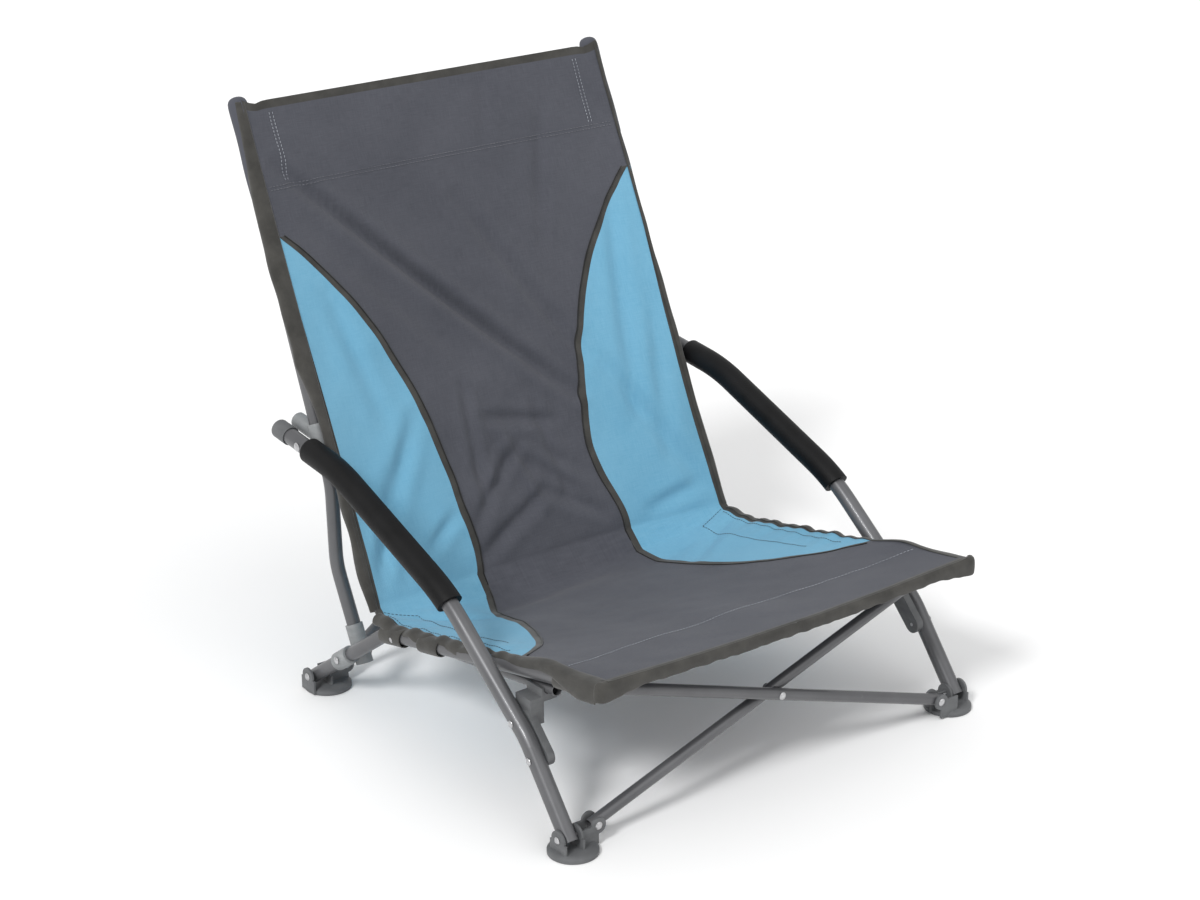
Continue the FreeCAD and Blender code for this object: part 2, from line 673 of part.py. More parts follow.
# ---- sling ----
def sheet_solid(stations):
    """Closed cloth sheet: each station is (x, outline points) of its edge profile in (y, z)."""
    wires = []
    for x, line in stations:
        upper = [V(x, y, z + CLOTH / 2) for y, z in line]
        lower = [V(x, y, z - CLOTH / 2) for y, z in reversed(line)]
        points = upper + lower
        wires.append(Part.makePolygon(points + points[:1]))
    return Part.makeLoft(wires, True, True)


def sheet_shares():
    """Shares of the half width where the sheet's cross sections stand."""
    inner = [step * FLAT_EDGE / 5 for step in range(-5, 6)]
    return [-1.0] + inner + [1.0]


def sag_share(share):
    """Part of the full sag at a share of the half width: none over the side tubes."""
    return max(0.0, 1 - (share / FLAT_EDGE) ** 2)


def seat_line():
    """Cloth centre line along the rails: (y, z, half width, sag in the middle)."""
    lift = RAIL_R / math.cos(math.atan2(75, 356)) + CLOTH_GAP + CLOTH / 2
    line = [(CREASE[0], CREASE[1], CREASE_X, SEAT_SAG)]
    for y, sag in ((RAIL_BEND[0] - 10, SEAT_SAG), (-60.0, SEAT_SAG), (-170.0, 22.0),
                   (-280.0, 12.0), (SEAT_FRONT_Y, FRONT_SAG)):
        rail_z = height_on(RAIL_BEND, RAIL_PIVOT, y)
        line.append((y, rail_z + lift, rail_x_at(y) + 2.0, sag))
    return line


def sling_seat():
    stations = []
    for share in sheet_shares():
        line = seat_line()
        profile = [(y, z - sag * sag_share(share)) for y, z, _, sag in line]
        stations.append((share * line[2][2], profile))
    return sheet_solid(stations)


def back_line():
    """Cloth edge from the crease to the top corners: (y, z, sag backwards)."""
    axis = upright_axis(1)
    top = (BACK_TOP[0] - TOP_CLOTH_OFFSET * axis.z, BACK_TOP[1] + TOP_CLOTH_OFFSET * axis.y)
    bottom = (CREASE[0] + 3.0, CREASE[1] + 4.0)
    line = []
    for share, sag in ((0.0, 20.0), (0.2, BACK_SAG), (0.45, BACK_SAG), (0.75, 16.0), (1.0, TOP_SAG)):
        y, z = between(bottom, top, share)
        line.append((y, z, sag))
    return line


def sling_back():
    """Back sheet; its profile is laid on its side so that the thickness runs fore and aft."""
    wires = []
    for share in sheet_shares():
        bulge = sag_share(share)
        front = [V(share * UPRIGHT_SLIDER_X, y + sag * bulge - CLOTH / 2, z - sag * bulge * 0.2)
                 for y, z, sag in back_line()]
        rear = [point + V(0, CLOTH, 0) for point in reversed(front)]
        wires.append(Part.makePolygon(front + rear + front[:1]))
    return Part.makeLoft(wires, True, True)


# ---- assembly ----
def side_parts(side, word):
    """All pieces of one side, by node name."""
    front = (at(side, LEG_X, (FRONT_PIN_Y, PIN_Z)), leg_pin_axis(side), LEG_R, PLAY)
    rear = (at(side, RAIL_REAR_X, (REAR_PIN_Y, PIN_Z)), V(side, 0, 0), RAIL_R, REAR_PLAY)
    front_ear = (front_cross_ends(side)[0], 0.0)
    rear_ear = (rear_cross_ends(side)[0], REAR_LEAN)
    return {
        "front_foot_" + word: foot(side, *front, FRONT_DISC_INSET, *front_ear),
        "front_foot_rivets_" + word: foot_pins(*front, *front_ear),
        "leg_arm_tube_" + word: leg_arm_tube(side),
        "arm_grip_" + word: arm_grip(side),
        "arm_end_cap_" + word: arm_end_cap(side),
        "arm_pivot_pin_" + word: arm_pivot_pin(side),
        "leg_cradle_" + word: leg_cradle(side),
        "leg_cradle_rivets_" + word: cradle_rivets(side),
        "seat_rail_" + word: seat_rail(side),
        "rail_front_cap_" + word: rail_front_cap(side),
        "seat_brace_" + word: seat_brace(side),
        "brace_spacer_" + word: brace_spacer(side),
        "brace_rivet_" + word: brace_rivet(side),
        "upright_collar_" + word: upright_collar(side),
        "upright_pivot_pin_" + word: upright_pivot_pin(side),
        "upright_end_fitting_" + word: upright_end_fitting(side),
        "back_upright_" + word: back_upright(side),
        "upright_top_cap_" + word: upright_top_cap(side),
        "upright_slider_" + word: upright_slider(side),
        "rear_foot_" + word: foot(side, *rear, REAR_DISC_INSET, *rear_ear),
        "rear_foot_rivets_" + word: foot_pins(*rear, *rear_ear),
        "rail_knuckle_" + word: rail_knuckle(side),
        "rail_knuckle_pins_" + word: knuckle_pins(side),
        "rear_cross_plug_" + word: rear_cross_plug(side),
        "rear_cross_rivet_" + word: rear_rivet_half(side),
    }


def cross_parts():
    """Cross tubes, named after the foot they start from, and their middle rivets."""
    front_right = front_cross_ends(-1)
    front_left = front_cross_ends(1)
    rear_right = rear_cross_ends(-1)
    rear_left = rear_cross_ends(1)
    fore = V(0, 1, 0)
    lean = rear_pin_axis()
    return {
        "front_cross_tube_right": cross_tube(front_right, fore, FIT),
        "front_cross_tube_left": cross_tube(front_left, fore, RUN),
        "front_cross_rivet": cross_rivet(front_right, front_left, fore),
        "front_cross_washer": cross_washer(front_right, front_left, fore),
        "rear_cross_tube_right": cross_tube(rear_right, lean, FIT),
        "rear_cross_tube_left": cross_tube(rear_left, lean, FIT),
        "rear_cross_washer": cross_washer(rear_right, rear_left, lean),
    }


def all_parts():
    parts = {}
    parts.update(side_parts(-1, "right"))
    parts.update(side_parts(1, "left"))
    parts.update(cross_parts())
    parts["sling_seat"] = sling_seat()
    parts["sling_back"] = sling_back()
    return parts


def centre_shift(parts):
    """Move that puts the origin under the middle of the chair's outer box."""
    box = FreeCAD.BoundBox()
    for shape in parts.values():
        box.add(shape.BoundBox)
    return V(0, -(box.YMin + box.YMax) / 2, 0)


def main():
    os.makedirs("parts", exist_ok=True)
    parts = all_parts()
    shift = centre_shift(parts)
    for name, shape in parts.items():
        shape.translate(shift)
        shape.exportStep("parts/" + name + ".step")
    print("OK", len(parts), "parts, frame shift y", round(shift.y, 3))
    return shift


FRAME_SHIFT = main()
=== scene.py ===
import json
import math

import bmesh
import bpy
import numpy as np
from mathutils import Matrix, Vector, noise

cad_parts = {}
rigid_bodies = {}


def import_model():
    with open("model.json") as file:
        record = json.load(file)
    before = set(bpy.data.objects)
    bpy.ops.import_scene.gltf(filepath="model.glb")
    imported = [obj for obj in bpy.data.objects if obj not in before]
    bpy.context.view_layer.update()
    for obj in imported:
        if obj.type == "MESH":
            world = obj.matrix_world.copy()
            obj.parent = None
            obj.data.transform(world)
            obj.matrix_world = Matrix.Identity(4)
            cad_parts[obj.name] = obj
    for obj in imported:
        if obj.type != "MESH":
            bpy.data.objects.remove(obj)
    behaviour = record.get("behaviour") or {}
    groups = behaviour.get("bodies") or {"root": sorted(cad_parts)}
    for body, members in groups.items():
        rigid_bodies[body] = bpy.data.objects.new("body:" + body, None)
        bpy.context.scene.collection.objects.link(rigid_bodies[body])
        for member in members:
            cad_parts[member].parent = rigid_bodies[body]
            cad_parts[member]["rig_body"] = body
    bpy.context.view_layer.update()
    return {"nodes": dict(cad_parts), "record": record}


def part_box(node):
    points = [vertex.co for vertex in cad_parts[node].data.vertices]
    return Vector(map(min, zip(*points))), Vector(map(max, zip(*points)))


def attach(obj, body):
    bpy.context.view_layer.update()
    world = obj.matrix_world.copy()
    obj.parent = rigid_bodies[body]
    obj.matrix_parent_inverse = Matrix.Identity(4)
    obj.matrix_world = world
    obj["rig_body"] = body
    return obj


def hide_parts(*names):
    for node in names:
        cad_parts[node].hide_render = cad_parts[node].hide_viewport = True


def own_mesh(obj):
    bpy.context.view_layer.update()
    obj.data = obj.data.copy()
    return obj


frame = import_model()
nodes = frame["nodes"]
SIDES = {"right": -1, "left": 1}


# ---- finishes: a small language for shader nodes ----
class Finish:
    """One material under construction; node() adds a node and returns its first output."""

    def __init__(self, name):
        self.material = bpy.data.materials.new(name)
        self.material.use_nodes = True
        self.tree = self.material.node_tree
        self.shader = self.tree.nodes["Principled BSDF"]

    def node(self, kind, output=0, settings=None, **values):
        made = self.tree.nodes.new(kind)
        for name, value in (settings or {}).items():
            setattr(made, name, value)
        for name, value in values.items():
            socket = made.inputs[int(name[2:]) if name.startswith("in") else name.replace("_", " ")]
            self.feed(socket, value)
        return Socket(self, made.outputs[output])

    def feed(self, socket, value):
        if isinstance(value, Socket):
            self.tree.links.new(value.out, socket)
        else:
            socket.default_value = value

    def maths(self, operation, *terms):
        values = {"in" + str(place): term for place, term in enumerate(terms)}
        return self.node("ShaderNodeMath", settings={"operation": operation}, **values)

    def place(self, coordinates="Object", scale=(1, 1, 1)):
        """Coordinates that a pattern is laid out in, scaled."""
        source = self.tree.nodes.new("ShaderNodeTexCoord").outputs[coordinates]
        return self.node("ShaderNodeMapping", in0=Socket(self, source), Scale=scale)

    def noise(self, where, scale, detail, roughness=0.55):
        return self.node("ShaderNodeTexNoise", Vector=where, Scale=scale, Detail=detail, Roughness=roughness)

    def mix(self, share, first, second):
        return self.node("ShaderNodeMix", 2, {"data_type": "RGBA"}, in0=share, in6=first, in7=second)

    def ramp(self, value, low, high, out_low=0.0, out_high=1.0):
        return self.node("ShaderNodeMapRange", Value=value, From_Min=low, From_Max=high,
                         To_Min=out_low, To_Max=out_high)

    def axis(self, where, number):
        return self.node("ShaderNodeSeparateXYZ", number, Vector=where)

    def bump(self, height, distance, strength):
        return self.node("ShaderNodeBump", Height=height, Distance=distance, Strength=strength)

    def finish(self, colour, roughness, normal=None, metallic=0.0, **plain):
        self.feed(self.shader.inputs["Base Color"], colour)
        self.feed(self.shader.inputs["Roughness"], roughness)
        self.feed(self.shader.inputs["Metallic"], metallic)
        if normal:
            self.feed(self.shader.inputs["Normal"], normal)
        for name, value in plain.items():
            self.shader.inputs[name.replace("_", " ")].default_value = value
        return self.material


class Socket:
    """A shader value that plain arithmetic works on."""

    def __init__(self, owner, out):
        self.owner = owner
        self.out = out

    def __add__(self, other):
        return self.owner.maths("ADD", self, other)

    def __sub__(self, other):
        return self.owner.maths("SUBTRACT", self, other)

    def __mul__(self, other):
        return self.owner.maths("MULTIPLY", self, other)


# ---- finishes of this chair ----
THREADS_PER_METRE = 1300.0


def woven(name, dark, light, fade=0.5):
    """Plain-weave polyester: threads across and along, mottled dye, soft sheen."""
    cloth = Finish(name)
    along = cloth.place("UV")
    u = cloth.axis(along, 0)
    v = cloth.axis(along, 1)
    warp = cloth.maths("SINE", u * (THREADS_PER_METRE * math.pi))
    weft = cloth.maths("SINE", v * (THREADS_PER_METRE * math.pi))
    weave = cloth.maths("ABSOLUTE", warp * weft)
    slub = cloth.noise(cloth.place("UV", scale=(60, 900, 1)), 1.0, 2.0)
    slub_across = cloth.noise(cloth.place("UV", scale=(900, 60, 1)), 1.0, 2.0)
    heather = (slub + slub_across) * 0.5
    blotch = cloth.noise(cloth.place(), 9.0, 4.0)
    share = cloth.ramp(heather * 0.65 + blotch * fade * 0.7, 0.3, 0.75)
    colour = cloth.mix(share, dark, light)
    height = weave * 0.5 + heather
    rough = cloth.ramp(heather, 0.3, 0.7, 0.78, 0.92)
    return cloth.finish(colour, rough, cloth.bump(height, 0.00035, 0.55),
                        Sheen_Weight=0.1, Sheen_Roughness=0.5, Specular_IOR_Level=0.2)


def tape_finish(name, dark, light):
    """Ribbed binding tape: fine ribs along its length and a matt, slightly uneven dye."""
    tape = Finish(name)
    where = tape.place()
    ribs = tape.noise(tape.place("Object", scale=(700, 90, 700)), 1.0, 2.0)
    wear = tape.noise(where, 40.0, 4.0)
    colour = tape.mix(tape.ramp(wear, 0.35, 0.7), dark, light)
    return tape.finish(colour, tape.ramp(ribs, 0.3, 0.7, 0.8, 0.95), tape.bump(ribs, 0.0004, 0.5),
                       Sheen_Weight=0.2, Specular_IOR_Level=0.2)


def powder_coat(name, dark, light):
    """Satin powder coat: fine orange peel, faint clouding and small rubbed spots."""
    coat = Finish(name)
    where = coat.place()
    peel = coat.noise(where, 900.0, 2.0)
    cloud = coat.noise(where, 14.0, 4.0)
    rubbed = coat.ramp(coat.noise(where, 55.0, 6.0, 0.7), 0.66, 0.76)
    colour = coat.mix(coat.ramp(cloud, 0.3, 0.7), dark, light)
    colour = coat.mix(rubbed * 0.35, colour, [min(1, value * 1.7) for value in light[:3]] + [1])
    rough = coat.ramp(cloud, 0.3, 0.7, 0.3, 0.42) - rubbed * 0.06
    return coat.finish(colour, rough, coat.bump(peel, 0.00012, 0.35), metallic=0.35, Coat_Weight=0.15)


def moulded(name, dark, light, rough_low, rough_high):
    """Moulded plastic: spark-eroded texture, faint flow marks."""
    plastic = Finish(name)
    where = plastic.place()
    grain = plastic.noise(where, 1600.0, 2.0)
    flow = plastic.noise(plastic.place("Object", scale=(30, 30, 110)), 1.0, 4.0)
    colour = plastic.mix(plastic.ramp(flow, 0.3, 0.7), dark, light)
    rough = plastic.ramp(grain, 0.3, 0.7, rough_low, rough_high)
    return plastic.finish(colour, rough, plastic.bump(grain, 0.00015, 0.4), Specular_IOR_Level=0.45)


def closed_cell(name, dark, light):
    """Closed-cell foam: tiny open pits on a soft skin."""
    foam = Finish(name)
    where = foam.place()
    cells = foam.node("ShaderNodeTexVoronoi", Vector=where, Scale=900.0)
    skin = foam.noise(where, 35.0, 4.0)
    colour = foam.mix(foam.ramp(skin, 0.3, 0.7), dark, light)
    height = cells + skin * 0.6
    return foam.finish(colour, foam.ramp(skin, 0.3, 0.7, 0.46, 0.6), foam.bump(height, 0.0004, 0.4),
                       Specular_IOR_Level=0.18)


def bright_steel(name):
    """Plated steel: long fine scratches and faint stains."""
    steel = Finish(name)
    where = steel.place()
    scratch = steel.noise(steel.place("Object", scale=(1800, 200, 1800)), 1.0, 3.0)
    stain = steel.noise(where, 120.0, 3.0)
    colour = steel.mix(steel.ramp(stain, 0.3, 0.7), (0.42, 0.42, 0.43, 1), (0.62, 0.62, 0.63, 1))
    return steel.finish(colour, steel.ramp(scratch, 0.3, 0.7, 0.24, 0.4), steel.bump(scratch, 0.00008, 0.3),
                        metallic=1.0)


GREY_CLOTH = woven("slate_weave", (0.052, 0.055, 0.068, 1), (0.094, 0.097, 0.114, 1))
BLUE_CLOTH = woven("sky_weave", (0.125, 0.335, 0.49, 1), (0.2, 0.43, 0.58, 1), 0.4)
TAPE = tape_finish("binding_tape", (0.036, 0.035, 0.032, 1), (0.06, 0.058, 0.053, 1))
THREAD = tape_finish("sewing_thread", (0.27, 0.29, 0.33, 1), (0.42, 0.44, 0.48, 1))
FAINT_THREAD = tape_finish("faint_thread", (0.12, 0.125, 0.145, 1), (0.19, 0.2, 0.225, 1))
DARK_THREAD = tape_finish("dark_thread", (0.02, 0.035, 0.05, 1), (0.04, 0.06, 0.08, 1))
PIPING = tape_finish("piping_cord", (0.012, 0.012, 0.012, 1), (0.025, 0.025, 0.024, 1))
TUBE_COAT = powder_coat("gunmetal_coat", (0.09, 0.091, 0.096, 1), (0.126, 0.127, 0.133, 1))
PLASTIC = moulded("grey_plastic", (0.088, 0.091, 0.095, 1), (0.122, 0.126, 0.13, 1), 0.45, 0.62)
LIGHT_PLASTIC = moulded("pale_plastic", (0.19, 0.2, 0.205, 1), (0.26, 0.27, 0.275, 1), 0.42, 0.58)
FOAM = closed_cell("black_foam", (0.0028, 0.0028, 0.003, 1), (0.0065, 0.0065, 0.007, 1))
STEEL = bright_steel("rivet_steel")

FINISH_OF_SLOT = {
    "tube": TUBE_COAT, "plastic": PLASTIC, "light_plastic": LIGHT_PLASTIC,
    "foam": FOAM, "steel": STEEL, "cloth": GREY_CLOTH,
}


def finish_frame_nodes():
    """Every carried-over frame piece gets the finish of its slot."""
    for entry in frame["record"]["subparts"]:
        mesh = nodes[entry["node"]].data
        mesh.materials.clear()
        mesh.materials.append(FINISH_OF_SLOT[entry["material_slot"]])


# ---- small helpers ----
def select_only(pieces):
    """Select these pieces, with the first one active."""
    bpy.ops.object.select_all(action="DESELECT")
    for piece in pieces:
        piece.select_set(True)
    bpy.context.view_layer.objects.active = pieces[0]


def place_mesh(name, mesh):
    """New piece in the scene that shows a mesh."""
    piece = bpy.data.objects.new(name, mesh)
    bpy.context.scene.collection.objects.link(piece)
    return piece


# ---- places on the sling, worked out from the frame ----
seat_low, seat_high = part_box("sling_seat")
back_low, back_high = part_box("sling_back")
CLOTH_HALF = 0.0007
RAIL_RADIUS = 0.008
RAIL_SLEEVE = RAIL_RADIUS + 0.0014

# Edge line from the seat's front to the back's top: y, z, half width, sag in the middle.
CREASE_Y = seat_high.y
CREASE_Z = back_low.z
TOP = Vector((0, back_high.y - 0.009, back_high.z - 0.0015))
SEAT_EDGE = [
    (seat_low.y + 0.001, seat_high.z - 0.001, 0.2475, 0.007),
    (-0.2871, 0.1886, 0.2490, 0.011),
    (-0.1771, 0.1655, 0.2503, 0.019),
    (-0.0671, 0.1423, 0.2525, 0.026),
    (0.0359, 0.1210, 0.2545, 0.028),
    (CREASE_Y, CREASE_Z + 0.0005, 0.2545, 0.024),
]
BACK_EDGE = [
    (CREASE_Y + 0.003, CREASE_Z + 0.005, 0.2540, 0.021),
    (0.1239, 0.2290, 0.2515, 0.026),
    (0.1864, 0.3604, 0.2505, 0.027),
    (0.2619, 0.5182, 0.2492, 0.019),
    (TOP.y, TOP.z, 0.2476, 0.008),
]
EDGE = np.array(SEAT_EDGE + BACK_EDGE)
RUNS = np.hypot(np.diff(EDGE[:, 0]), np.diff(EDGE[:, 1]))
STEPS = np.concatenate([[0.0], np.cumsum(RUNS)])
LENGTH = STEPS[-1]
CREASE = STEPS[len(SEAT_EDGE) - 1]
BACK_START = STEPS[len(SEAT_EDGE)]
MEETING = CREASE + 0.0025     # the seat and back pieces meet here

# Side panel seam: distance along the sling and share of the half width.
SEAM = [
    (0.142, 1.03), (0.163, 0.91), (0.185, 0.80), (0.218, 0.70), (0.270, 0.59), (0.320, 0.52),
    (0.375, 0.485), (0.423, 0.425), (0.480, 0.40), (0.540, 0.39), (0.600, 0.43), (0.660, 0.485),
    (0.720, 0.58), (0.765, 0.675), (0.800, 0.775), (0.835, 0.885), (0.870, 1.03),
]
SEAM_LIMIT = 0.955            # the seam tape runs into the edge tape here
SEAM_SKEW = 0.05              # the two seams are not quite symmetric near the crease
SKEW_AT = 0.445               # where along the sling that difference is largest
SKEW_REACH = 0.05
CUT_HALF = 0.25               # half width of the cut cloth, for sizes given as shares
TAPE_WIDTH = 0.0088
TAPE_SHARE = TAPE_WIDTH / CUT_HALF
HEM_WIDTH = 0.0115


ROUNDING_REACH = 0.012        # half length of the moving average below


def smooth_line(knots, values, at):
    """Straight runs between the knots, rounded by a short moving average."""
    reach = np.linspace(-ROUNDING_REACH, ROUNDING_REACH, 9)
    return np.mean([np.interp(at + shift, knots, values) for shift in reach], axis=0)


def seam_share(s, side):
    knots = [place for place, _ in SEAM]
    skew = side * SEAM_SKEW * np.exp(-((s - SKEW_AT) / SKEW_REACH) ** 2)
    return smooth_line(knots, [share for _, share in SEAM], s) + skew


def has_side_panel(s, side):
    inside = (s > SEAM[0][0]) & (s < SEAM[-1][0])
    return inside & (seam_share(s, side) - TAPE_SHARE / 2 < SEAM_LIMIT)


# Folds pressed into the cloth: start (u, s), end (u, s), width and depth in metres.
FOLDS = [
    ((-0.90, 0.935), (0.40, 0.600), 0.0090, 0.0110),
    ((-0.80, 0.86), (-0.10, 0.66), 0.012, 0.0030),
    ((0.02, 0.86), (0.50, 0.64), 0.0095, 0.0048),
    ((0.60, 0.95), (0.42, 0.78), 0.009, 0.0035),
    ((0.30, 0.985), (0.24, 0.91), 0.008, 0.0022),
    ((-0.20, 0.64), (-0.24, 0.50), 0.0075, 0.0042),
    ((-0.14, 0.60), (0.26, 0.575), 0.0075, 0.0045),
    ((-0.32, 0.485), (0.02, 0.56), 0.0085, 0.0048),
    ((0.02, 0.56), (0.33, 0.49), 0.0080, -0.0042),
    ((-0.34, 0.445), (0.10, 0.50), 0.0090, 0.0050),
    ((0.08, 0.50), (0.38, 0.455), 0.0080, 0.0042),
    ((-0.07, 0.585), (0.06, 0.48), 0.0070, -0.0038),
    ((0.16, 0.60), (0.22, 0.49), 0.0070, 0.0038),
    ((-0.95, 0.46), (-0.52, 0.62), 0.011, 0.0060),
    ((-0.93, 0.44), (-0.74, 0.57), 0.009, 0.0045),
    ((-0.62, 0.47), (-0.44, 0.50), 0.008, 0.0040),
    ((-0.80, 0.78), (-0.66, 0.62), 0.011, 0.0035),
    ((0.95, 0.455), (0.52, 0.66), 0.011, 0.0065),
    ((0.84, 0.82), (0.70, 0.56), 0.011, 0.0055),
    ((0.94, 0.70), (0.80, 0.50), 0.010, 0.0040),
    ((0.93, 0.46), (0.62, 0.445), 0.009, 0.0042),
    ((-0.93, 0.41), (-0.52, 0.37), 0.010, 0.0034),
    ((0.94, 0.40), (0.56, 0.34), 0.010, 0.0030),
    ((-0.46, 0.395), (0.30, 0.412), 0.014, 0.0055),
]


def fold_depth(u, s, half):
    """How far the pressed folds move the cloth off its smooth sag."""
    depth = np.zeros_like(u)
    x = u * half
    for (u0, s0), (u1, s1), width, height in FOLDS:
        ax = u0 * CUT_HALF
        dx = u1 * CUT_HALF - ax
        ds = s1 - s0
        share = np.clip(((x - ax) * dx + (s - s0) * ds) / (dx * dx + ds * ds), 0, 1)
        away = np.hypot(x - ax - share * dx, s - s0 - share * ds)
        ends = np.sin(np.pi * np.clip(share * 0.9 + 0.05, 0, 1)) ** 0.6
        ridge = np.exp(-(away / width) ** 2) - 0.45 * np.exp(-((away - 1.6 * width) / width) ** 2)
        depth += height * ends * ridge
    return depth


def side_wave(u, s):
    """Lift of the sheet near its side edges: slack ripples, and a rise beside the front corner."""
    side = np.where(u < 0, -1.0, 1.0)
    ripple = 0.0026 * np.sin(s * 172.0 + side * 1.3) * np.sin(s * 61.0 + side)
    slack = np.clip((s - 0.14) / 0.05, 0, 1) * np.clip((0.44 - s) / 0.03, 0, 1)
    rise = 0.0060 * np.exp(-((s - 0.105) / 0.035) ** 2)
    droop = 0.0015 * np.exp(-(s / 0.03) ** 2)
    rear_rise = 0.0045 * np.exp(-((s - CREASE) / 0.02) ** 2)
    return np.abs(u) ** 9 * (ripple * slack + rise + rear_rise - droop)


def crumple(u, s):
    """Sharp random facets in the lower middle of the back, where the cloth has been folded."""
    inside = np.exp(-((s - 0.535) / 0.075) ** 2) * np.exp(-(u / 0.34) ** 4)
    values = np.abs(noise_sheet(u, s, CUT_HALF, 17.0, 11.3))
    values += 0.5 * np.abs(noise_sheet(u, s, CUT_HALF, 31.0, 4.9))
    return 0.0085 * inside * values


def noise_sheet(u, s, half, grain, offset):
    """Smooth random hills over the sheet, the same on every run."""
    values = np.empty_like(u)
    across, along = (u * half).ravel(), s.ravel()
    flat_u = across * 0.82 - along * 0.57
    flat_s = across * 0.57 + along * 0.82
    flat = values.ravel()
    for place in range(flat.size):
        flat[place] = noise.noise(Vector((flat_u[place] * grain, flat_s[place] * grain, offset)))
    return flat.reshape(u.shape)


def sling_surface(u, s):
    """Middle surface of the cloth for arrays of share across and distance along."""
    y = np.interp(s, STEPS, EDGE[:, 0])
    z = np.interp(s, STEPS, EDGE[:, 1])
    half = smooth_line(STEPS, EDGE[:, 2], s)
    sag = smooth_line(STEPS, EDGE[:, 3], s)
    belly = np.clip(1 - np.abs(u) ** 2.2, 0, 1)
    on_back = s > (CREASE + BACK_START) / 2
    hold = np.clip((1 - np.abs(u)) / 0.12, 0, 1)
    hills = noise_sheet(u, s, half, 14.0, 3.1) * 0.0026 + noise_sheet(u, s, half, 38.0, 7.7) * 0.0007
    ends = np.clip(np.minimum(s, LENGTH - s) / 0.03, 0.25, 1)
    press = (fold_depth(u, s, half) + crumple(u, s) + hills * ends) * hold
    down = sag * belly + press - np.where(on_back, 0.0, side_wave(u, s))
    tip = np.abs(u) ** 30 * np.clip((s - LENGTH + 0.05) / 0.05, 0, 1) * 0.004
    notch = np.exp(-((np.abs(u) - 0.93) / 0.03) ** 2) * np.clip((s - LENGTH + 0.02) / 0.02, 0, 1) * 0.003
    bend = np.exp(-((s - CREASE) / 0.03) ** 2) * 0.010 * belly
    y = y + np.where(on_back, down * 0.93, 0.0) + bend * 0.35
    z = z - np.where(on_back, down * 0.25, down) - bend * 0.2 + tip - notch
    return np.stack([u * half, y, z], axis=-1)


# ---- the sling as a grid whose columns follow the panel seams ----
PANEL_COLUMNS = 16
TAPE_COLUMNS = 3
CENTRE_COLUMNS = 30
ROW_STEP = 0.0048
TAPE_LIMIT = 0.985            # the seam tape's outer line stays inside this share
EDGE_REACH = 1.006            # a share just past the edge, for the normals there
TAPE_RAISE = 0.0006           # extra half thickness under the seam tape
EDGE_RAISE = 0.0008           # and at the rolled side edges
HEM_RAISE = 0.0010            # and at the hem


def column_shares(s, side):
    """Shares across one half, middle to edge, for rows at distances s."""
    seam = seam_share(s, side)
    inner = np.minimum(seam - TAPE_SHARE / 2, SEAM_LIMIT)
    outer = np.minimum(seam + TAPE_SHARE / 2, TAPE_LIMIT)
    columns = []
    for place in range(CENTRE_COLUMNS):
        columns.append(inner * place / CENTRE_COLUMNS)
    for place in range(TAPE_COLUMNS):
        columns.append(inner + (outer - inner) * place / TAPE_COLUMNS)
    for place in range(PANEL_COLUMNS + 1):
        columns.append(outer + (1 - outer) * place / PANEL_COLUMNS)
    return np.stack(columns, axis=1)


PANEL_FINISHES = [GREY_CLOTH, BLUE_CLOTH, TAPE]


def row_distances(start, end):
    count = int(round((end - start) / ROW_STEP))
    return np.linspace(start, end, count + 1)


def with_border(grid, before, after, axis):
    """The grid with one more row or column at each end."""
    return np.concatenate([before, grid, after], axis=axis)


def sheet_normals(across, along):
    """Unit normals on the side that the sitter touches, from points that reach past the grid's ends."""
    across = with_border(across, -across[:, 1:2], across[:, -1:] * EDGE_REACH, 1)
    across = with_border(across, across[:1], across[-1:], 0)
    along = with_border(along, along[:, :1], along[:, -1:], 1)
    along = with_border(along, along[:1] - ROW_STEP, along[-1:] + ROW_STEP, 0)
    points = sling_surface(across, along)
    lengthwise = points[2:, 1:-1] - points[:-2, 1:-1]
    crosswise = points[1:-1, 2:] - points[1:-1, :-2]
    normal = np.cross(crosswise, lengthwise)
    return normal / np.linalg.norm(normal, axis=2, keepdims=True)


